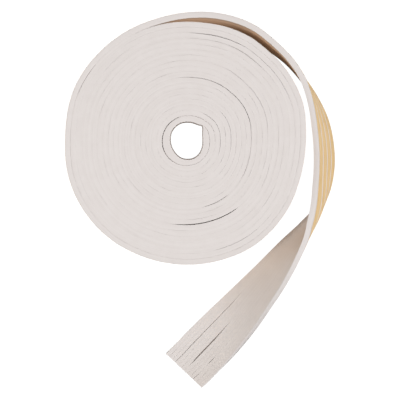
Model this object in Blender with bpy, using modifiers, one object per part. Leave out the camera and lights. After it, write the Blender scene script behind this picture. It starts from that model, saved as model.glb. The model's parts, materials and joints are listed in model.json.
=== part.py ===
# Four-lane E-profile rubber seal with its release liners.
# The band is wound into a roll that lies on its end. Its outer turn is peeled off
# as a free tail, which leans outward and then twists over until its ribs face up.
import math

import bmesh
import bpy
import numpy as np

MM = 0.001

# Section of the band: lanes side by side, ribs on the face that looks to the bore
LANES = 4
LANE_WIDTH = 9.0 * MM
THICKNESS = 4.0 * MM
RIBS_PER_LANE = 3
RIB_GROOVE = 0.6 * MM
RIB_HEIGHT = 2.2 * MM
TEAR_SLIT = 0.3 * MM
TEAR_WEB = 1.0 * MM

# Release liner, one strip on the back of each lane, over a film of adhesive
LINER_WIDTH = 6.0 * MM
LINER_THICKNESS = 0.3 * MM
ADHESIVE_FILM = 0.3 * MM

# Roll
BORE_RADIUS = 12.0 * MM
TURNS = 19
TURN_PITCH = 3.6 * MM
LAND_STEP = 0.4 * MM
CORE_SEGMENTS = 30
TURN_SEGMENTS = 40
OUTER_TURNS = 2
TURN_OVERLAP = 1.5 * MM
TAKE_OFF_ANGLE = 118.0

# The outer turn: degrees along the turn, 0 being where the tail leaves it, and the
# rise of its outer face over the roll radius, in thicknesses of the band
OUTER_TURN = (
    (-360, 0.0), (-330, 0.06), (-308, 0.4), (-285, 0.75), (-265, 0.83),
    (-250, 0.46), (-232, 0.18), (-215, 0.5), (-198, 0.88), (-180, 1.18),
    (-150, 1.03), (-130, 0.98), (-110, 1.07), (-85, 0.95), (-63, 0.5),
    (-48, 0.68), (-30, 0.92), (-12, 0.92), (0, 1.0),
)

# The free tail: degrees round the roll from the take-off, stand-off of its ribs from
# the roll in hundredths of the roll radius, and lean of its upper edge off the roll
TAIL = (
    (0, 0.0, 0), (14, 1.0, -1), (28, 2.9, 0), (43, 5.3, 2), (58, 7.6, 2),
    (70, 8.4, -0.5), (80, 9.7, -3), (90, 11.8, -7), (100, 13.6, -13.5),
    (110, 15.6, -20), (120, 18.0, -24.5), (130, 20.4, -25), (140, 22.8, -19),
    (150, 24.8, -5.5), (158, 26.4, 7), (166, 29.9, 18), (175, 36.3, 29),
    (185, 47.1, 41), (195, 64.6, 58.5), (203, 84.7, 76.5), (208.4, 103.0, 90),
)
TAIL_SEGMENTS = 40
TAIL_ROOT = 2.0
LINER_START = -340.0

BAND_WIDTH = LANES * LANE_WIDTH
ROLL_RADIUS = BORE_RADIUS + TURNS * TURN_PITCH
CORE_RADIUS = ROLL_RADIUS - OUTER_TURNS * TURN_PITCH


def new_collection(name):
    collection = bpy.data.collections.new(name)
    bpy.context.scene.collection.children.link(collection)
    return collection


def material(name, colour, roughness):
    shade = bpy.data.materials.new(name)
    shade.use_nodes = True
    principled = shade.node_tree.nodes["Principled BSDF"]
    principled.inputs["Base Color"].default_value = (*colour, 1.0)
    principled.inputs["Roughness"].default_value = roughness
    principled.inputs["Metallic"].default_value = 0.0
    return shade


def hide_tool(tool):
    tool.hide_render = True
    tool.display_type = "WIRE"


def smooth(stations, column, position):
    # Cubic through the stations, each slope taken across its two neighbours
    places = [row[0] for row in stations]
    values = [row[column] for row in stations]
    last = len(places) - 1
    index = min(max(int(np.searchsorted(places, position)) - 1, 0), last - 1)

    def slope(i):
        before, after = max(i - 1, 0), min(i + 1, last)
        return (values[after] - values[before]) / (places[after] - places[before])

    span = places[index + 1] - places[index]
    t = (position - places[index]) / span
    return ((2 * t ** 3 - 3 * t ** 2 + 1) * values[index]
            + (t ** 3 - 2 * t ** 2 + t) * span * slope(index)
            + (3 * t ** 2 - 2 * t ** 3) * values[index + 1]
            + (t ** 3 - t ** 2) * span * slope(index + 1))


# Stand-off and lean of the band's middle line, outer turn and tail in one route
ROUTE = [(place, (rise - 1) * THICKNESS, 0.0) for place, rise in OUTER_TURN[:-1]]
ROUTE += [(place, stand_off / 100 * ROLL_RADIUS, lean) for place, stand_off, lean in TAIL]


def outer_radius(place):
    return ROLL_RADIUS + THICKNESS + smooth(ROUTE, 1, place)


def band_point(place):
    # Middle of the band's section, with its lower edge, or the liner where the band has
    # twisted over, resting on the floor
    lean = math.radians(smooth(ROUTE, 2, place))
    radius = outer_radius(place) - THICKNESS / 2
    angle = math.radians(TAKE_OFF_ANGLE - place)
    upright, flat = math.cos(lean), math.sin(lean)
    edge = BAND_WIDTH / 2 * upright + THICKNESS / 2 * abs(flat)
    liner_margin = (LANE_WIDTH - LINER_WIDTH) / 2
    liner_face = THICKNESS / 2 + ADHESIVE_FILM + LINER_THICKNESS
    liner = (BAND_WIDTH / 2 - liner_margin) * upright + liner_face * flat
    return (radius * math.cos(angle), radius * math.sin(angle), max(edge, liner)), lean


def even_places(first, last, segments):
    # Places along the route that split its length into equal steps
    fine = np.linspace(first, last, 20 * segments + 1)
    points = np.array([band_point(place)[0] for place in fine])
    length = np.concatenate(([0.0], np.cumsum(np.linalg.norm(np.diff(points, axis=0), axis=1))))
    return np.interp(np.linspace(0.0, length[-1], segments + 1), length, fine)


def section_curve(name, outline):
    curve = bpy.data.curves.new(name, "CURVE")
    curve.dimensions = "2D"
    spline = curve.splines.new("POLY")
    spline.points.add(len(outline) - 1)
    for point, (x, y) in zip(spline.points, outline):
        point.co = (x, y, 0.0, 1.0)
    spline.use_cyclic_u = True
    tool = bpy.data.objects.new(name, curve)
    cutters.objects.link(tool)
    hide_tool(tool)
    return tool


def sweep(name, section, places, collection):
    # Sweeps a section along the route, then welds the caps of the swept tube
    curve = bpy.data.curves.new(name + "_route", "CURVE")
    curve.dimensions = "3D"
    curve.twist_mode = "Z_UP"
    curve.bevel_mode = "OBJECT"
    curve.bevel_object = section
    curve.use_fill_caps = True
    spline = curve.splines.new("POLY")
    spline.points.add(len(places) - 1)
    for point, place in zip(spline.points, places):
        centre, lean = band_point(place)
        point.co = (*centre, 1.0)
        point.tilt = -lean
    guide = bpy.data.objects.new(name + "_route", curve)
    collection.objects.link(guide)
    bpy.context.view_layer.update()
    depsgraph = bpy.context.evaluated_depsgraph_get()
    mesh = bpy.data.meshes.new_from_object(guide.evaluated_get(depsgraph))
    mesh.name = name
    work = bmesh.new()
    work.from_mesh(mesh)
    bmesh.ops.remove_doubles(work, verts=work.verts, dist=0.00001)
    bmesh.ops.recalc_face_normals(work, faces=work.faces)
    # The twisted faces of the band and its liners split along like diagonals
    sides = [face for face in work.faces if len(face.verts) == 4]
    bmesh.ops.triangulate(work, faces=sides, quad_method="FIXED")
    work.to_mesh(mesh)
    work.free()
    swept = bpy.data.objects.new(name, mesh)
    swept.matrix_world = guide.matrix_world
    collection.objects.link(swept)
    bpy.data.objects.remove(guide)
    return swept


def liner_edges(lane):
    middle = (lane + 0.5) * LANE_WIDTH - BAND_WIDTH / 2
    return middle - LINER_WIDTH / 2, middle + LINER_WIDTH / 2


def band_outline():
    # x points to the roll's axis, y runs from the lower edge of the band to the upper one
    half_width, half_thickness = BAND_WIDTH / 2, THICKNESS / 2
    outline = [(half_thickness, -half_width)]
    pitch = LANE_WIDTH / RIBS_PER_LANE
    for rib in range(1, LANES * RIBS_PER_LANE):
        tear = rib % RIBS_PER_LANE == 0
        half_groove = (TEAR_SLIT if tear else RIB_GROOVE) / 2
        depth = THICKNESS - TEAR_WEB if tear else RIB_HEIGHT
        middle = rib * pitch - half_width
        outline.append((half_thickness, middle - half_groove))
        outline.append((half_thickness - depth, middle - half_groove))
        outline.append((half_thickness - depth, middle + half_groove))
        outline.append((half_thickness, middle + half_groove))
    outline.append((half_thickness, half_width))
    outline.append((-half_thickness, half_width))
    for lane in reversed(range(LANES)):
        bottom, top = liner_edges(lane)
        outline.append((-half_thickness, top))
        outline.append((-half_thickness, bottom))
    outline.append((-half_thickness, -half_width))
    return outline


def liner_outline(lane):
    bottom, top = liner_edges(lane)
    inner = -THICKNESS / 2 - ADHESIVE_FILM
    outer = inner - LINER_THICKNESS
    return [(inner, top), (inner, bottom), (outer, bottom), (outer, top)]


def turned_core():
    # Every second turn stands a step lower, so that the turns show on both ends
    upper = []
    for turn in range(TURNS - OUTER_TURNS):
        inner = BORE_RADIUS + turn * TURN_PITCH
        top = BAND_WIDTH - (turn % 2) * LAND_STEP
        upper.append((inner, top))
        upper.append((inner + TURN_PITCH, top))
    lower = [(radius, BAND_WIDTH - top) for radius, top in reversed(upper)]
    profile = upper + lower
    mesh = bpy.data.meshes.new("seal_band")
    points = [(radius, 0.0, height) for radius, height in profile]
    count = len(points)
    edges = [(i, (i + 1) % count) for i in range(count)]
    mesh.from_pydata(points, edges, [])
    core = bpy.data.objects.new("seal_band", mesh)
    parts.objects.link(core)
    screw = core.modifiers.new("turned", "SCREW")
    screw.axis = "Z"
    screw.angle = math.tau
    screw.steps = CORE_SEGMENTS
    screw.render_steps = CORE_SEGMENTS
    screw.use_merge_vertices = True
    screw.merge_threshold = 0.00001
    return core


def outer_turns():
    # Closed ring of the outer turns, whose outline isn't quite round. It jumps by one
    # thickness where the tail leaves it.
    work = bmesh.new()
    rings = []
    for place in np.linspace(-360.0 + TAIL_ROOT, 0.0, TURN_SEGMENTS + 1):
        outer = outer_radius(place)
        under = outer - THICKNESS
        inner = CORE_RADIUS - TURN_OVERLAP
        middle = (CORE_RADIUS + under) / 2
        half = [(inner, 1.5 * LAND_STEP), (middle, 1.5 * LAND_STEP), (middle, LAND_STEP),
                (under, LAND_STEP), (under, LAND_STEP / 2), (outer, LAND_STEP / 2)]
        section = half + [(radius, BAND_WIDTH - height) for radius, height in reversed(half)]
        angle = math.radians(TAKE_OFF_ANGLE - place)
        rings.append([work.verts.new((radius * math.cos(angle), radius * math.sin(angle), height))
                      for radius, height in section])
    for ring, following in zip(rings, rings[1:] + rings[:1]):
        for i in range(len(ring)):
            j = (i + 1) % len(ring)
            work.faces.new((ring[i], ring[j], following[j], following[i]))
    bmesh.ops.recalc_face_normals(work, faces=work.faces)
    mesh = bpy.data.meshes.new("outer_turns")
    work.to_mesh(mesh)
    work.free()
    turns = bpy.data.objects.new("outer_turns", mesh)
    cutters.objects.link(turns)
    return turns


for old in list(bpy.data.objects):
    bpy.data.objects.remove(old)
parts = new_collection("e_profile_seal_strip")
cutters = new_collection("cutters")

axis = bpy.data.objects.new("roll_axis", None)
parts.objects.link(axis)

rubber = material("rubber", (0.78, 0.74, 0.70), 0.75)
paper = material("liner_paper", (0.76, 0.50, 0.22), 0.6)

tail_places = even_places(0.0, TAIL[-1][0], TAIL_SEGMENTS)
root_places = np.concatenate(([-TAIL_ROOT], tail_places))
turn_places = np.linspace(-360.0 + TAIL_ROOT, 0.0, TURN_SEGMENTS + 1)
liner_places = np.concatenate((turn_places[turn_places > LINER_START], tail_places[1:]))

band = turned_core()
tail = sweep("tail", section_curve("band_section", band_outline()), root_places, cutters)
for name, tool in (("outer_turns", outer_turns()), ("tail", tail)):
    hide_tool(tool)
    tool.parent = axis
    union = band.modifiers.new(name, "BOOLEAN")
    union.operation = "UNION"
    union.solver = "EXACT"
    union.object = tool
band.parent = axis
band.data.materials.append(rubber)

for lane in range(LANES):
    section = section_curve(f"liner_section_{lane + 1}", liner_outline(lane))
    liner = sweep(f"liner_{lane + 1}", section, liner_places, parts)
    liner.parent = axis
    liner.data.materials.append(paper)
    liner.data.shade_smooth()

# The origin is the middle of the object's footprint
bpy.context.view_layer.update()
depsgraph = bpy.context.evaluated_depsgraph_get()
corners = [obj.evaluated_get(depsgraph).bound_box for obj in parts.objects if obj.type == "MESH"]
corners = np.array(corners).reshape(-1, 3)
middle = (corners.min(axis=0) + corners.max(axis=0)) / 2
axis.location = (-middle[0], -middle[1], -corners[:, 2].min())
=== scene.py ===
import json
import math

import bmesh
import bpy
import numpy as np
from mathutils import Matrix, Vector


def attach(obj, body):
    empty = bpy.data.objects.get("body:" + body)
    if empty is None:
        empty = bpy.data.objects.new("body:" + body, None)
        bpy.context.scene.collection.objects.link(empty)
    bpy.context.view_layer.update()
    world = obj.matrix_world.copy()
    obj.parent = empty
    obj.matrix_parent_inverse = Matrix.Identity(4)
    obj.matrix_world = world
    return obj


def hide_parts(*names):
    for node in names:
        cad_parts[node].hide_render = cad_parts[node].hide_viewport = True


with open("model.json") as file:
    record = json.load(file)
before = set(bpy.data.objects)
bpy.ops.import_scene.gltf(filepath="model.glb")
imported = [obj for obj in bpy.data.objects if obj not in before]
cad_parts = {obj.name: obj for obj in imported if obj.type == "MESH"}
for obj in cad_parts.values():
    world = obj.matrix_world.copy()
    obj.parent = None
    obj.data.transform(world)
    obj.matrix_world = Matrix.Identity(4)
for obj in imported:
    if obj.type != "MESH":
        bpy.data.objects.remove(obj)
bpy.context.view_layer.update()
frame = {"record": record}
print("frame loaded")

mm = 0.001

# The band: lanes side by side, three ribs a lane on the face that looks to the bore
band = {
    "lanes": 4,
    "laneWidth": 9.0 * mm,
    "thickness": 4.0 * mm,
    "ribsPerLane": 3,
    "grooveWidth": 0.02 * mm,    # between the ribs of a lane, shut
    "grooveDepth": 2.2 * mm,
    "slitWidth": 0.03 * mm,      # tear slit between two lanes, shut
    "slitDepth": 3.0 * mm,
    "rootShare": 0.2,            # share of a slit's opening that reaches its root
    "ribRound": 0.012 * mm,
    "ribEdgeRound": 0.3 * mm,    # of the band's edges on the ribbed face
    "backEdgeRound": 0.6 * mm,   # and on its back
    "notchWidth": 0.5 * mm,      # shallow score between lanes on the back
    "notchDepth": 0.15 * mm,
    "ribSupport": 0.12 * mm,     # how far beside a groove the rib's face is flat
}
bandWidth = band["lanes"] * band["laneWidth"]
grooves = band["lanes"] * band["ribsPerLane"] - 1    # every third one is a tear slit

# The roll. Turns are counted from the take-off of the tail, so inside the roll they
# are negative.
roll = {
    "boreRadius": 12.0 * mm,
    "turns": 19,
    "turnPitch": 3.6 * mm,
    "takeOffAngle": 118.0,
    "startAngle": 44.0,          # corner in the bore where the strip begins
    "landTurn": 8.5,             # the flat mount stands under this turn
}
rollRadius = roll["boreRadius"] + roll["turns"] * roll["turnPitch"]
mount = frame["record"]["mounts"][0]["pos_m"]
axisX = mount[0] + roll["boreRadius"] + roll["landTurn"] * roll["turnPitch"]
axisY = mount[1]
stripStart = (roll["takeOffAngle"] - roll["startAngle"]) / 360 - roll["turns"]

# Degrees wound on from the corner in the bore, and radius in mm of the strip's inner face
firstTurns = (
    (0, 15.3), (4, 14.7), (9, 13.7), (14, 12.95), (21, 12.15), (29, 11.65), (44, 11.35),
    (59, 11.6), (74, 12.0), (89, 12.5), (104, 12.8), (119, 12.8), (134, 12.6),
    (149, 12.4), (164, 11.85), (179, 11.35), (194, 11.1), (209, 11.1), (224, 11.25),
    (239, 11.55), (254, 12.1), (269, 12.45), (284, 12.8), (299, 13.1), (314, 13.15),
    (329, 13.4), (344, 13.7), (352, 14.2), (360, 15.3), (367, 15.8), (374, 16.1),
    (389, 16.0), (404, 15.9), (434, 16.3), (464, 16.6), (494, 16.7), (524, 16.8),
    (554, 16.8), (584, 16.7), (614, 16.8), (644, 17.0), (674, 17.4), (704, 18.3),
    (720, 19.1),
)
# Degrees along the outer turn, up to the take-off at 0, and radius in mm of its outer face
outerTurn = (
    (-360, 80.6), (-340, 80.6), (-324, 80.8), (-311, 81.9), (-300, 82.6), (-290, 82.5),
    (-281, 83.0), (-271, 83.3), (-261, 83.3), (-256, 82.9), (-251, 82.1), (-241, 81.3),
    (-231, 81.2), (-221, 81.8), (-211, 83.0), (-201, 83.9), (-191, 84.7), (-181, 85.1),
    (-172, 84.8), (-152, 84.5), (-132, 84.3), (-112, 84.7), (-92, 84.4), (-83, 84.1),
    (-73, 83.4), (-63, 82.5), (-53, 82.6), (-43, 83.5), (-33, 84.0), (-13, 84.0), (0, 84.4),
)
# Degrees along the free tail, stand-off in mm of its ribs from the roll radius, and lean
# of its upper edge off the roll in degrees
tailRoute = (
    (0, 0.0, 0), (14, 0.8, -1), (28, 2.3, 0), (43, 4.3, 1.5), (58, 6.2, 1.3),
    (70, 6.4, 0.2), (80, 8.0, -3.3), (90, 9.4, -7.3), (100, 10.5, -14.7),
    (110, 12.1, -22.3), (120, 14.1, -25.6), (130, 16.5, -26), (140, 18.6, -21),
    (150, 19.7, -6), (158, 21.3, 7.4), (166, 23.9, 18.5), (175, 29.1, 29),
    (185, 37.9, 41), (195, 52.0, 58.5), (203, 68.1, 76.5), (208.6, 83.4, 90),
)
# Joints between turns that gape: turn from which and to which, and width in mm
openJoints = (
    (-17.35, -16.95, 0.34), (-15.85, -15.6, 0.14), (-13.8, -13.6, 0.1), (-9.95, -9.66, 0.26),
    (-9.68, -9.57, 0.1), (-9.53, -9.46, 0.24), (-6.85, -6.67, 0.12), (-6.53, -6.395, 0.6),
    (-2.93, -2.77, 0.08), (-2.86, -2.79, 0.1), (-1.92, -1.83, 0.34), (-1.84, -1.73, 0.14),
    (-1.53, -1.46, 0.16), (-0.11, -0.06, 0.16),
)
# Places where the turns are pressed in: turn, bearing, mm, spread in turns and in degrees
dents = ((-6.5, 283, 0.9, 2.2, 45), (-9.6, 350, 0.8, 2.5, 60), (-5.0, 0, 0.6, 2.5, 50))

# Slow uneven changes from place to place: seed and fastest rate
waves = {
    "radius": (3, 5.5),
    "joint": (5, 12),
    "jointOnRight": (12, 40),
    "lift": (8, 2.5),
    "liftOnRight": (9, 17),
    "liner": (20, 3),
    "groove": (30, 5.5),
}
slowestWave = 0.6
wavesMixed = 4


def smoothThrough(stations, at):
    # Cubic through the stations, with the slope at each taken across its neighbours
    table = np.array(stations, float)
    places, values = table[:, 0], table[:, 1]
    last = len(places) - 1
    order = np.arange(last + 1)
    before, after = np.maximum(order - 1, 0), np.minimum(order + 1, last)
    slope = (values[after] - values[before]) / (places[after] - places[before])
    i = np.clip(np.searchsorted(places, at, side="right") - 1, 0, last - 1)
    span = places[i + 1] - places[i]
    t = (at - places[i]) / span
    return ((2 * t ** 3 - 3 * t ** 2 + 1) * values[i]
            + (t ** 3 - 2 * t ** 2 + t) * span * slope[i]
            + (3 * t ** 2 - 2 * t ** 3) * values[i + 1]
            + (t ** 3 - t ** 2) * span * slope[i + 1])


def smoothStep(low, high, at):
    # 0 below low, 1 above high, and 3t^2 - 2t^3 between them
    t = np.clip((at - low) / (high - low), 0, 1)
    return t * t * (3 - 2 * t)


def inAndOut(comesIn, goesOut, at):
    # Rises from 0 to 1 over the first stretch and falls back over the second
    return smoothStep(*comesIn, at) * (1 - smoothStep(*goesOut, at))


def wander(at, name, number=0):
    # From -1 to 1: the mean of a few sines of unlike rates
    seed, fastest = waves[name]
    rng = np.random.default_rng(seed + number)
    rates = rng.uniform(slowestWave, fastest, wavesMixed)
    phases = rng.uniform(0, math.tau, wavesMixed)
    sines = [np.sin(rate * at * math.tau + phase) for rate, phase in zip(rates, phases)]
    return sum(sines) / wavesMixed


def runningLength(points):
    # Distance covered up to each point of a path
    return np.append(0.0, np.cumsum(np.linalg.norm(np.diff(points, axis=0), axis=1)))


winding = {
    "joint": 0.01 * mm,          # joint between two turns that lie tight
    "jointWander": 0.09 * mm,    # how far some stretches of it open
    "jointTight": 0.2,           # part of the wander at which it is still tight
    "jointOnRight": 0.12 * mm,   # how much more it opens on the right of the roll
    "rightBearing": -15.0,
    "rightSpread": 50.0,
    "wander": 0.12 * mm,         # of the turns' radius
    "wanderIn": (1.5, 3.0),      # turns from the strip's start over which it comes in
    "wanderOut": (-1.6, -0.9),   # and turns from the take-off over which it goes out
    "lift": 0.1 * mm,            # how far turns stand higher or lower than others
    "liftOnRight": 0.3 * mm,
    "boreTurns": 1.08,           # turns with ribs, which show in the bore
    "turnStep": 2.5,             # degrees from station to station
    "round": 0.03 * mm,
    "support": 0.3 * mm,         # how far beside a rounded corner the face is flat
    "overlap": 0.01,             # turns by which one length of strip runs into the next
    "inset": 0.02 * mm,          # how much thinner it is there
    "insetReach": 0.015,         # turns from each end that are thinner
}
outlinedTurns = firstTurns[-1][0] / 360
outlinedEnd = stripStart + outlinedTurns


def bearing(turn):
    # Turns run clockwise, seen from above
    return roll["takeOffAngle"] - 360 * turn


def bearingFrom(angle, turn):
    # Degrees from a bearing, from -180 to 180
    return (bearing(turn) - angle + 180) % 360 - 180


def innerRadius(turn):
    # Radius of the strip's inner face. The first turns follow their own outline. From
    # there on each bearing is shared out evenly, up to the outline of the roll.
    turn = np.asarray(turn, float)
    phase = turn - np.floor(turn)
    early = phase - roll["turns"] + outlinedTurns - (phase >= stripStart + roll["turns"])
    early = np.where(turn < outlinedEnd, turn, early)
    start = smoothThrough(firstTurns, (early - stripStart) * 360)
    cover = smoothThrough(outerTurn, phase * 360 - 360)
    share = np.where(turn < outlinedEnd, 0.0, (turn - early) / np.maximum(phase - early, 1.0))
    radius = (start + share * (cover - start)) * mm
    for middle, angle, depth, turnSpread, angleSpread in dents:
        radius = radius - depth * mm * np.exp(-((turn - middle) / turnSpread) ** 2
                                              - (bearingFrom(angle, turn) / angleSpread) ** 2)
    comesIn = [stripStart + turns for turns in winding["wanderIn"]]
    inside = inAndOut(comesIn, winding["wanderOut"], turn)
    return radius + inside * winding["wander"] * wander(turn, "radius")


def onRight(turn):
    # 1 in the middle of the roll's right side, falling off to both sides as a bell curve
    return np.exp(-(bearingFrom(winding["rightBearing"], turn) / winding["rightSpread"]) ** 2)


def jointWidth(turn):
    # Width of the joint between a turn and the one under it
    opens = np.maximum(wander(turn, "joint") - winding["jointTight"], 0)
    dashes = np.maximum(wander(turn, "jointOnRight"), 0)
    width = (winding["joint"] + winding["jointWander"] * opens
             + winding["jointOnRight"] * dashes * onRight(turn))
    for first, last, gape in openJoints:
        t = (turn - (first + last) / 2) / ((last - first) / 2)
        width = width + gape * mm * np.clip(1 - t ** 4, 0, 1)
    return width


def lift(turn):
    # How high a length of strip stands off the floor
    everywhere, right = (0.5 + 0.5 * wander(turn, name) for name in ("lift", "liftOnRight"))
    return winding["lift"] * everywhere + winding["liftOnRight"] * onRight(turn) * right


def roundedOutline(corners, steps=3):
    # Each corner becomes a short curve that touches both of its sides. A corner has its
    # place, its rounding, and whatever else its points should carry.
    table = np.array(corners, float)
    place, rounding, carried = table[:, :2], table[:, 2:3], table[:, 3:]
    toBefore, toAfter = np.roll(place, 1, 0) - place, np.roll(place, -1, 0) - place
    toBefore *= rounding / np.linalg.norm(toBefore, axis=1, keepdims=True)
    toAfter *= rounding / np.linalg.norm(toAfter, axis=1, keepdims=True)
    t = np.linspace(0, 1, steps)[None, :, None]
    curve = place[:, None] + (1 - t) ** 2 * toBefore[:, None] + t ** 2 * toAfter[:, None]
    curve = np.concatenate([curve, np.repeat(carried[:, None], steps, 1)], -1)
    curve = curve.reshape(-1, curve.shape[-1])
    stride = np.linalg.norm((curve - np.roll(curve, 1, 0))[:, :2], axis=1)
    return curve[stride > 0.001 * mm]    # points that fall together become one


liner = {
    "width": 6.8 * mm,
    "inner": 0.02 * mm,          # its two faces, from the band's back
    "outer": 0.12 * mm,
    "round": 0.05 * mm,
    "wander": 0.15 * mm,         # of its place across the band
    "start": -340.0,             # degrees along the outer turn
}
linerMargin = (band["laneWidth"] - liner["width"]) / 2

# What a point of the ribbed section lies on, where it isn't plain
onRibs, betweenLiners = 1, 2


def ribbedSection():
    # Depth, outward from the middle of the band, and height from its middle. The wall of
    # a groove or slit carries its number from the lower edge and the way that it opens,
    # and the last value is what the point lies on. A point beside each wall keeps the
    # ribs' faces flat.
    half, top, rib = band["thickness"] / 2, bandWidth / 2, bandWidth / (grooves + 1)
    front, back = band["ribEdgeRound"], band["backEdgeRound"]
    corners = [(-half, -top, front, 0, 0, 0), (-half, rib / 2 - top, 0, 0, 0, onRibs)]
    for number in range(1, grooves + 1):
        slit = number % band["ribsPerLane"] == 0
        middle = number * rib - top
        wall = (band["slitWidth"] if slit else band["grooveWidth"]) / 2
        root = (band["slitDepth"] if slit else band["grooveDepth"]) - half
        beside = wall + band["ribSupport"]
        corners += [
            (-half, middle - beside, 0, number, -1, onRibs),
            (-half, middle - wall, band["ribRound"], number, -1, onRibs),
            (root, middle - wall, 0, number, -band["rootShare"], onRibs),
            (root, middle + wall, 0, number, band["rootShare"], onRibs),
            (-half, middle + wall, band["ribRound"], number, 1, onRibs),
            (-half, middle + beside, 0, number, 1, onRibs),
            (-half, middle + rib / 2, 0, 0, 0, onRibs),
        ]
    corners += [(-half, top, front, 0, 0, 0), (half, top, back, 0, 0, 0)]
    score = band["notchWidth"] / 2
    for lane in range(band["lanes"] - 1, 0, -1):
        middle = lane * band["laneWidth"] - top
        for aside, depth in ((linerMargin, 0), (score, 0), (0, band["notchDepth"]),
                             (-score, 0), (-linerMargin, 0)):
            corners.append((half - depth, middle + aside, 0, 0, 0, betweenLiners))
    corners.append((half, -top, back, 0, 0, 0))
    return roundedOutline(corners)


def plainSection():
    # The band without its ribs, for turns that lie between others. A point beside each
    # rounded corner keeps the faces flat.
    half, top, bend = band["thickness"] / 2, bandWidth / 2, winding["round"]
    near = bend + winding["support"]
    corners = [
        (-half, -top, bend), (-half, near - top, 0), (-half, top - near, 0), (-half, top, bend),
        (near - half, top, 0), (half - near, top, 0), (half, top, bend), (half, top - near, 0),
        (half, near - top, 0), (half, -top, bend), (half - near, -top, 0), (near - half, -top, 0),
    ]
    return roundedOutline(corners, 4)


sharpAngle = math.radians(40)


def solid(name, points, section, warmth=0.0, paintedGlow=0.0):
    # Skins a grid of points, station by section point, into a closed tube with two caps.
    # The UV map gives metres along the strip and metres round its section. The warm tint,
    # painted light on the tail, and the painted glow are kept at the points for the finish.
    stations, around = points.shape[:2]
    index = np.arange(stations * around).reshape(stations, around)
    low, high = index[:-1], index[1:]
    quads = np.stack([low, np.roll(low, -1, 1), np.roll(high, -1, 1), high], -1).reshape(-1, 4)
    mesh = bpy.data.meshes.new(name)
    mesh.from_pydata(points.reshape(-1, 3).tolist(), [],
                     quads.tolist() + [index[0].tolist(), index[-1].tolist()])
    along = runningLength(points.mean(axis=1))
    across = runningLength(np.append(section[:, :2], section[:1, :2], axis=0))
    corner = np.empty((stations - 1, around, 4, 2))
    corner[..., (0, 1), 0], corner[..., (2, 3), 0] = along[:-1, None, None], along[1:, None, None]
    corner[..., (0, 3), 1] = across[None, :-1, None]
    corner[..., (1, 2), 1] = across[None, 1:, None]
    caps = [np.stack([along[end] + section[:, 0], section[:, 1]], -1) for end in (0, -1)]
    layer = mesh.uv_layers.new(name="alongStrip")
    uv = np.concatenate([corner.reshape(-1, 2), *caps]).astype(np.float32)
    layer.data.foreach_set("uv", uv.ravel())
    work = bmesh.new()
    work.from_mesh(mesh)
    bmesh.ops.recalc_face_normals(work, faces=work.faces)
    work.to_mesh(mesh)
    work.free()
    for title, amount in (("warmth", warmth), ("paintedGlow", paintedGlow)):
        values = np.broadcast_to(amount, (stations, around)).astype(np.float32)
        mesh.attributes.new(title, "FLOAT", "POINT").data.foreach_set("value", values.ravel())
    mesh.shade_smooth()
    mesh.set_sharp_from_angle(angle=sharpAngle)
    piece = bpy.data.objects.new(name, mesh)
    bpy.context.scene.collection.objects.link(piece)
    print(name, len(mesh.polygons), "faces")
    return piece


def atBearing(turn, radius, height):
    # A point of the roll or the tail, from its turn, its distance from the axis and its height
    angle = np.radians(bearing(turn))
    return np.stack([axisX + radius * np.cos(angle), axisY + radius * np.sin(angle), height], -1)


def woundPoints(turns, section, inset=0.0):
    # Depth is shared out between the strip's inner face and the turn over it, along the
    # radius. Height is the strip's own, plus its lift. The ends may be inset.
    nearEnd = np.minimum(turns - turns[0], turns[-1] - turns) < winding["insetReach"]
    thinner = np.where(nearEnd, inset, 0.0)[:, None]
    inner = innerRadius(turns)[:, None] + thinner
    outer = (innerRadius(turns + 1) - jointWidth(turns + 1))[:, None] - thinner
    share = 0.5 + section[None, :, 0] / band["thickness"]
    height = (bandWidth / 2 + lift(turns)[:, None]
              + section[None, :, 1] * (1 - 2 * thinner / bandWidth))
    return atBearing(turns[:, None], inner + share * (outer - inner), height)


tail = {
    "step": 2.0 * mm,            # from station to station
    "settle": (-30.0, 5.0),      # degrees over which the roll lets the band go
    "upright": -20,              # degrees up to which it stands as it was wound
    "lastWound": -0.001,         # last place in degrees that has a turn under it
    "bow": 4.2 * mm,             # how far the middle of its width bows off the roll
    "bowed": (128.0, 173.0),     # and between which degrees
    "skew": 0.047,               # the cut end is a little oblique
    "skewFrom": 201.0,
    "grooveOpening": 0.02 * mm,  # of the grooves between ribs
    "grooveCloses": (15, 60.0),  # mm from the cut end over which they close
    "grooveMean": 0.5,           # of that opening, about which it wanders
    "grooveWave": 60,            # mm
    "endOpening": 0.06 * mm,     # how much wider they are at the cut end
    "endRelief": 0.45 * mm,      # how far the ribs' sides sink there
    "endReach": 20.0,            # mm from the cut end
}
# How far the tear slits gape: groove number from the lower edge, and then mm from the
# tail's end and opening in mm
slitOpening = {
    3: ((0, 0.22), (20, 0.26), (45, 0.38), (60, 0.45), (67, 0.25), (74, 0), (1000, 0)),
    6: ((0, 0), (8, 0.12), (13, 0.65), (26, 0.95), (38, 0.7), (47, 0.25), (52, 0), (1000, 0)),
    9: ((0, 0.3), (4, 0.3), (7, 0), (15, 0), (18, 0.2), (22, 0.2), (26, 0), (1000, 0)),
}
bandStart, tailEnd = outerTurn[0][0], tailRoute[-1][0]
freeRadius = (rollRadius + band["thickness"]) / mm
outerFace = outerTurn[:-1] + tuple(
    (place, freeRadius + standOff) for place, standOff, lean in tailRoute)
leans = ((bandStart, 0), (tail["upright"], 0)) + tuple(
    (place, lean) for place, standOff, lean in tailRoute)


def stillWound(places):
    # 1 in the roll and 0 where the band has come free
    return 1 - smoothStep(*tail["settle"], places)


def outerRadius(places):
    return smoothThrough(outerFace, places) * mm


def bandThickness(places):
    # In the roll the outer turn fills the room over the turn under it
    room = outerRadius(places) - innerRadius(np.minimum(places, tail["lastWound"]) / 360)
    return band["thickness"] + stillWound(places) * (room - band["thickness"])


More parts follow.
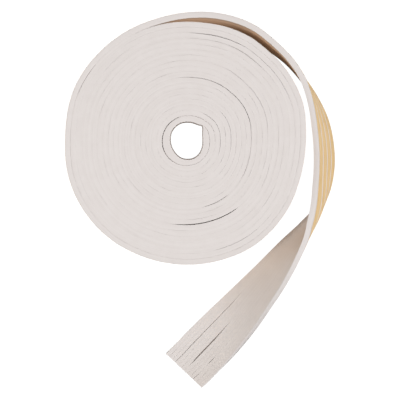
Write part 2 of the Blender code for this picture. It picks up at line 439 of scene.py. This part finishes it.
def tailFrame(places):
    # Middle of the band's section, and its outward and upward directions. The upper edge
    # leans over about the line of travel; the lower edge, or the liner where the band has
    # turned over, rests on the floor.
    lean = np.radians(smoothThrough(leans, places))
    upright, flat = np.cos(lean), np.sin(lean)
    half = bandThickness(places) / 2
    edge = bandWidth / 2 * upright + half * np.abs(flat)
    paper = (bandWidth / 2 - linerMargin) * upright + (half + liner["outer"]) * flat
    height = np.maximum(edge, paper) + stillWound(places) * lift(places / 360)
    middle = atBearing(places / 360, outerRadius(places) - half, height)
    travel = np.gradient(middle, axis=0)
    travel /= np.linalg.norm(travel, axis=1, keepdims=True)
    level = np.cross((0, 0, 1), travel)
    level /= np.linalg.norm(level, axis=1, keepdims=True)
    rise = np.cross(travel, level)
    outward = upright[:, None] * level - flat[:, None] * rise
    upward = upright[:, None] * rise + flat[:, None] * level
    return middle, outward, upward


def evenPlaces(first, last, step, samples=4000):
    # Places along the band at even distances, found on a fine first division
    fine = np.linspace(first, last, samples)
    length = runningLength(tailFrame(fine)[0])
    count = int(length[-1] / step)
    return np.interp(np.linspace(0, length[-1], count + 1), length, fine)


def bow(places):
    # A hump over part of the tail: sine squared
    first, last = tail["bowed"]
    return tail["bow"] * np.sin(np.pi * np.clip((places - first) / (last - first), 0, 1)) ** 2


def placed(places, depth, height):
    # Points of a section that travels with the tail's frame
    middle, outward, upward = tailFrame(places)
    travel = np.cross(outward, upward)
    across = 2 * height / bandWidth
    depth = depth + bow(places)[:, None] * (1 - across ** 2)
    ahead = -tail["skew"] * smoothStep(tail["skewFrom"], tailEnd, places)[:, None] * height
    return (middle[:, None] + depth[..., None] * outward[:, None]
            + height[..., None] * upward[:, None] + ahead[..., None] * travel[:, None])


def tailPoints(places, section):
    # The section, stretched to the band's thickness, with its slits and grooves opened
    length = runningLength(tailFrame(places)[0])
    fromEnd = (length[-1] - length) / mm
    opening = np.zeros((len(places), grooves + 1))
    atEnd = 1 - smoothStep(0, tail["endReach"], fromEnd)
    nearEnd = (tail["grooveOpening"] * (1 - smoothStep(*tail["grooveCloses"], fromEnd))
               + tail["endOpening"] * atEnd)
    for number in range(1, grooves + 1):
        if number in slitOpening:
            own = smoothThrough(slitOpening[number], fromEnd) * mm
        else:
            uneven = wander(fromEnd / tail["grooveWave"], "groove", number)
            own = nearEnd * (tail["grooveMean"] + uneven)
        opening[:, number] = np.maximum(own, 0)
    opened = opening[:, section[:, 2].astype(int)]
    height = section[None, :, 1] + opened / 2 * section[None, :, 3]
    depth = section[None, :, 0] * (bandThickness(places) / band["thickness"])[:, None]
    sunk = tail["endRelief"] * atEnd[:, None] * (np.abs(section[:, 3]) == 1)
    return placed(places, depth + sunk, height)


# Light painted on the band along the tail: a warm tint for tan light bounced from the
# liner, and a glow for light through the band. Stretches are degrees from the take-off.
paintedTailLight = {
    "warmth": 0.6,               # painted warm bounce light on the ribs beside the roll, and its changes
    "warmthSteps": ((40, 62, 0.4), (80, 130, -0.2), (148, 168, -0.58)),
    "twist": (125, 150),         # past it the painted warm light is stronger towards the upper edge
    "backWarmth": 0.3,           # painted warm light between two liners
    "paintedGlow": 1.25,                # painted glow for light that comes through the band, and its changes
    "glowSteps": ((38, 56, -0.9),),
    "glowIn": (0, 30),
    "glowOut": (75, 110),
    "ribShare": 0.45,            # of it behind a liner; between two liners it is all seen
    "backGlow": 2.5,             # painted glow for light through the thin webs, seen between two liners
    "backFaint": 0.25,           # share of it that is seen all round the roll
    "backIn": (20, 45),
    "backOut": (150, 180),
}


def stepped(start, steps, places):
    # A value that changes smoothly by an amount over each stretch
    return start + sum(amount * smoothStep(low, high, places) for low, high, amount in steps)


def paintedRibWarmth(places, section):
    # Painted warm light, standing in for tan light bounced from the liner: the ribs are
    # tinted warmer than the cut edges, most of all beside the roll, and so is the back between two
    # liners
    along = stepped(paintedTailLight["warmth"], paintedTailLight["warmthSteps"], places)
    below = 0.5 - section[:, 1] / bandWidth
    across = 1 - smoothStep(*paintedTailLight["twist"], places)[:, None] * below
    return (along[:, None] * across * (section[:, 4] == onRibs)
            + paintedTailLight["backWarmth"] * (section[:, 4] == betweenLiners))


def paintedRibGlow(places, section):
    # Painted glow, an emission standing in for light that comes through the band where it
    # stands off the roll, more of it between two liners than behind one, and most through the thin
    # webs there
    slit = (section[:, 2] > 0) & (section[:, 2] % band["ribsPerLane"] == 0)
    along = (inAndOut(paintedTailLight["glowIn"], paintedTailLight["glowOut"], places)
             * stepped(paintedTailLight["paintedGlow"], paintedTailLight["glowSteps"], places))
    inside = along[:, None] * (section[:, 4] == onRibs) * np.where(slit, 1.0, paintedTailLight["ribShare"])
    faint = paintedTailLight["backFaint"]
    webs = faint + (1 - faint) * inAndOut(paintedTailLight["backIn"], paintedTailLight["backOut"], places)
    return inside + paintedTailLight["backGlow"] * webs[:, None] * (section[:, 4] == betweenLiners)


def linerPoints(places, lane):
    # A thin flat strip on the back of one lane, whose edges wander a little
    half = liner["width"] / 2
    outline = roundedOutline([
        (liner["inner"], -half, 0), (liner["inner"], half, 0),
        (liner["outer"], half, liner["round"]), (liner["outer"], 0, 0),
        (liner["outer"], -half, liner["round"])])
    middle = (lane + 0.5) * band["laneWidth"] - bandWidth / 2
    aside = liner["wander"] * wander(places / 360, "liner", lane)
    depth = bandThickness(places)[:, None] / 2 + outline[None, :, 0]
    return placed(places, depth, middle + outline[None, :, 1] + aside[:, None]), outline


class Signal:
    # A shader value that can be reckoned with: each operator adds its Math node
    def __init__(self, finish, socket):
        self.finish, self.socket = finish, socket

    def math(self, operation, *values):
        return self.finish.node("ShaderNodeMath", {"operation": operation},
                                {i: value for i, value in enumerate(values)})

    def __add__(self, other):
        return self.math("ADD", self, other)

    def __radd__(self, other):
        return self.math("ADD", other, self)

    def __mul__(self, other):
        return self.math("MULTIPLY", self, other)

    def __rmul__(self, other):
        return self.math("MULTIPLY", other, self)


class Finish:
    # A material and its Principled shader
    def __init__(self, name):
        self.material = bpy.data.materials.new(name)
        self.material.use_nodes = True
        self.tree = self.material.node_tree
        self.shader = self.tree.nodes["Principled BSDF"]

    def give(self, socket, value):
        if isinstance(value, Signal):
            self.tree.links.new(value.socket, socket)
        else:
            socket.default_value = value

    def node(self, kind, settings=None, inputs=None, output=0):
        made = self.tree.nodes.new(kind)
        for name, value in (settings or {}).items():
            setattr(made, name, value)
        for name, value in (inputs or {}).items():
            self.give(made.inputs[name], value)
        return Signal(self, made.outputs[output])

    def stored(self, name):
        # A number kept at the mesh's points
        return self.node("ShaderNodeAttribute", {"attribute_name": name}, output=2)

    def noise(self, where, scale, detail, roughness):
        return self.node("ShaderNodeTexNoise", None, {
            "Vector": where, "Scale": scale, "Detail": detail, "Roughness": roughness})

    def drawnOut(self, factors, detail, roughness):
        # Noise that is drawn out along the strip: its scales along and across
        along = self.node("ShaderNodeUVMap", {"uv_map": "alongStrip"})
        where = self.node("ShaderNodeVectorMath", {"operation": "MULTIPLY"}, {0: along, 1: factors})
        return self.noise(where, 1.0, detail, roughness)

    def spread(self, value, source, target=(0.0, 1.0)):
        return self.node("ShaderNodeMapRange", None, {
            "Value": value, "From Min": source[0], "From Max": source[1],
            "To Min": target[0], "To Max": target[1]})

    def mix(self, factor, first, second):
        return self.node("ShaderNodeMix", {"data_type": "RGBA"},
                         {"Factor": factor, 6: first, 7: second}, 2)

    def bump(self, look, height):
        return self.node("ShaderNodeBump", None, {
            "Strength": look["reliefStrength"], "Distance": look["relief"], "Height": height})

    def surface(self, **inputs):
        for name, value in inputs.items():
            self.give(self.shader.inputs[name.replace("_", " ")], value)


rubberLook = {
    "colour": (0.79, 0.738, 0.715, 1),
    "darker": (0.755, 0.7, 0.675, 1),
    "boreWarmth": 0.3,
    # Colours of the warm tint, which on the tail is painted bounce light from the tan liner
    "warm": (0.74, 0.61, 0.49, 1),
    "warmDarker": (0.705, 0.57, 0.45, 1),
    # Colour of the painted glow, light put on the rubber as emission
    "paintedGlow": (0.148, 0.111, 0.083, 1),
    "mottle": (160.0, 4.0, 0.6),             # scale, detail and roughness of the noise
    "cells": (1800.0, 2.0, 0.6),
    "streaks": ((6.0, 700.0, 1.0), 3.0, 0.6),
    "toneShares": (0.35, 0.5, 0.15),         # of mottle, streaks and cells
    "toneRange": (0.4, 0.62),
    "roughnessRange": (0.35, 0.65),
    "roughness": (0.68, 0.86),
    "specular": 0.3,
    "reliefShares": (0.3, 0.7),              # of cells and streaks
    "relief": 0.06 * mm,
    "reliefStrength": 0.3,
}


def rubberFinish():
    # Matt cellular rubber: fine cells, a soft mottle, and streaks along the extrusion
    look = rubberLook
    finish = Finish("rubber")
    at = finish.node("ShaderNodeTexCoord", output=3)
    mottle, cells = finish.noise(at, *look["mottle"]), finish.noise(at, *look["cells"])
    streaks = finish.drawnOut(*look["streaks"])
    ofMottle, ofStreaks, ofCells = look["toneShares"]
    tone = mottle * ofMottle + streaks * ofStreaks + cells * ofCells
    shade = finish.spread(tone, look["toneRange"])
    cellRelief, streakRelief = look["reliefShares"]
    finish.surface(
        # The base colour mixes in the painted warm light kept at the points
        Base_Color=finish.mix(finish.stored("warmth"),
                              finish.mix(shade, look["colour"], look["darker"]),
                              finish.mix(shade, look["warm"], look["warmDarker"])),
        # The emission is the painted glow kept at the points
        Emission_Color=finish.mix(finish.stored("paintedGlow"), (0, 0, 0, 1), look["paintedGlow"]),
        Emission_Strength=1.0,
        Roughness=finish.spread(tone, look["roughnessRange"], look["roughness"]),
        Specular_IOR_Level=look["specular"],
        Normal=finish.bump(look, cells * cellRelief + streaks * streakRelief))
    return finish.material


paperLook = {
    "colour": (0.92, 0.645, 0.31, 1),
    "darker": (0.86, 0.575, 0.25, 1),
    "clouds": ((40.0, 300.0, 1.0), 3.0, 0.55),
    "fibres": ((300.0, 2500.0, 1.0), 2.0, 0.6),
    "toneShares": (0.65, 0.35),              # of clouds and fibres
    "toneRange": (0.38, 0.62),
    "roughnessRange": (0.35, 0.65),
    "roughness": (0.42, 0.58),
    "relief": 0.03 * mm,
    "reliefStrength": 0.35,
}


def paperFinish():
    # Smooth tan release paper with faint lengthwise clouds and fibres
    look = paperLook
    finish = Finish("linerPaper")
    clouds, fibres = finish.drawnOut(*look["clouds"]), finish.drawnOut(*look["fibres"])
    ofClouds, ofFibres = look["toneShares"]
    tone = clouds * ofClouds + fibres * ofFibres
    shade = finish.spread(tone, look["toneRange"])
    finish.surface(
        Base_Color=finish.mix(shade, look["colour"], look["darker"]),
        Roughness=finish.spread(tone, look["roughnessRange"], look["roughness"]),
        Normal=finish.bump(look, fibres))
    return finish.material


def finished(piece, finish, slotName, *nodes):
    piece.data.materials.append(finish)
    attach(piece, "root")
    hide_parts(*nodes)


rubber, paper = rubberFinish(), paperFinish()

# One strip in three lengths: ribbed round the bore, plain between, and ribbed outside
ribbed, plain = ribbedSection(), plainSection()
step, overlap = winding["turnStep"] / 360, winding["overlap"]
boreEnd, woundEnd = stripStart + winding["boreTurns"], bandStart / 360
turns = np.arange(stripStart, boreEnd, step)
boreTurn = solid("boreTurn", woundPoints(turns, ribbed), ribbed,
                 rubberLook["boreWarmth"] * (ribbed[:, 4] == onRibs))
turns = np.arange(boreEnd - overlap, woundEnd + overlap, step)
woundTurns = solid("woundTurns", woundPoints(turns, plain, winding["inset"]), plain)
places = evenPlaces(bandStart, tailEnd, tail["step"])
outerTurnAndTail = solid("outerTurnAndTail", tailPoints(places, ribbed), ribbed,
                         paintedRibWarmth(places, ribbed), paintedRibGlow(places, ribbed))
for piece in (boreTurn, woundTurns, outerTurnAndTail):
    finished(piece, rubber, "rubber", "seal_band")

places = places[places >= liner["start"]]
for lane in range(band["lanes"]):
    points, outline = linerPoints(places, lane)
    strip = solid(f"linerStrip{lane + 1}", points, outline)
    finished(strip, paper, "liner_paper", f"liner_{lane + 1}")
print("pieces made")


stage = {
    "floorSize": 6.0,
    "floorColour": (0.8, 0.8, 0.8, 1),
    "floorWhite": 1.15,          # the floor is white to the camera, with a faint shadow
    "floorWhiteShare": 0.9,
    "sky": 0.2,
    "lampSize": 0.4,
    # Place of each lamp, and its share of the light on a level surface
    "lamps": (((-0.75, 0.0, 1.3), 0.45), ((1.0, 0.0, 0.95), 0.32)),
}


def makeFloor():
    half = stage["floorSize"] / 2
    mesh = bpy.data.meshes.new("floor")
    mesh.from_pydata([(-half, -half, 0), (half, -half, 0), (half, half, 0), (-half, half, 0)],
                     [], [(0, 1, 2, 3)])
    finish = Finish("floor")
    finish.surface(Base_Color=stage["floorColour"], Roughness=1.0)
    white = finish.node("ShaderNodeEmission", None, {"Strength": stage["floorWhite"]})
    seen = finish.node("ShaderNodeLightPath") * stage["floorWhiteShare"]
    shown = finish.node("ShaderNodeMixShader", None, {
        0: seen, 1: Signal(finish, finish.shader.outputs[0]), 2: white})
    finish.give(finish.tree.nodes["Material Output"].inputs["Surface"], shown)
    mesh.materials.append(finish.material)
    floor = bpy.data.objects.new("floor", mesh)
    bpy.context.scene.collection.objects.link(floor)


def makeBackdrop():
    # The world is white to the camera, and lights the object with the sky's strength
    world = bpy.data.worlds.new("sky")
    world.use_nodes = True
    nodes, links = world.node_tree.nodes, world.node_tree.links
    light, seen = nodes["Background"], nodes.new("ShaderNodeBackground")
    light.inputs["Color"].default_value = seen.inputs["Color"].default_value = (1, 1, 1, 1)
    light.inputs["Strength"].default_value = stage["sky"]
    path, mix = nodes.new("ShaderNodeLightPath"), nodes.new("ShaderNodeMixShader")
    links.new(path.outputs["Is Camera Ray"], mix.inputs[0])
    links.new(light.outputs[0], mix.inputs[1])
    links.new(seen.outputs[0], mix.inputs[2])
    links.new(mix.outputs[0], nodes["World Output"].inputs["Surface"])
    bpy.context.scene.world = world


def makeLamp(place, share):
    # A level white surface that this lamp alone lights shines back the share: the lamp's
    # power is that times pi squared times distance squared over the cosine
    start = Vector(place)
    lamp = bpy.data.lights.new("softLamp", "AREA")
    lamp.energy = share * math.pi ** 2 * start.length ** 3 / start.z
    lamp.shape, lamp.size = "DISK", stage["lampSize"]
    holder = bpy.data.objects.new("softLamp", lamp)
    holder.location = start
    holder.rotation_mode = "QUATERNION"
    holder.rotation_quaternion = (-start).to_track_quat("-Z", "Y")
    bpy.context.scene.collection.objects.link(holder)


camera = {
    "height": 0.686,             # straight above the roll's axis
    "aimX": 9.7 * mm,            # where it points, on the floor, from the axis
    "aimY": -42.3 * mm,
    "lens": 85.86,
    "sensor": 36.0,
}


def makeCamera():
    data = bpy.data.cameras.new("camera")
    data.lens, data.sensor_width = camera["lens"], camera["sensor"]
    holder = bpy.data.objects.new("camera", data)
    holder.location = (axisX, axisY, camera["height"])
    # Looks down, with the top of the picture towards +Y
    ahead = Vector((camera["aimX"], camera["aimY"], -camera["height"])).normalized()
    aside = ahead.cross((0, 1, 0)).normalized()
    turned = Matrix((aside, aside.cross(ahead), -ahead)).transposed()
    holder.rotation_mode = "QUATERNION"
    holder.rotation_quaternion = turned.to_quaternion()
    bpy.context.scene.collection.objects.link(holder)
    bpy.context.scene.camera = holder


makeFloor()
makeBackdrop()
for place, share in stage["lamps"]:
    makeLamp(place, share)
makeCamera()
bpy.context.scene.view_settings.view_transform = "Standard"
print("stage, light and camera made")

bpy.context.view_layer.update()
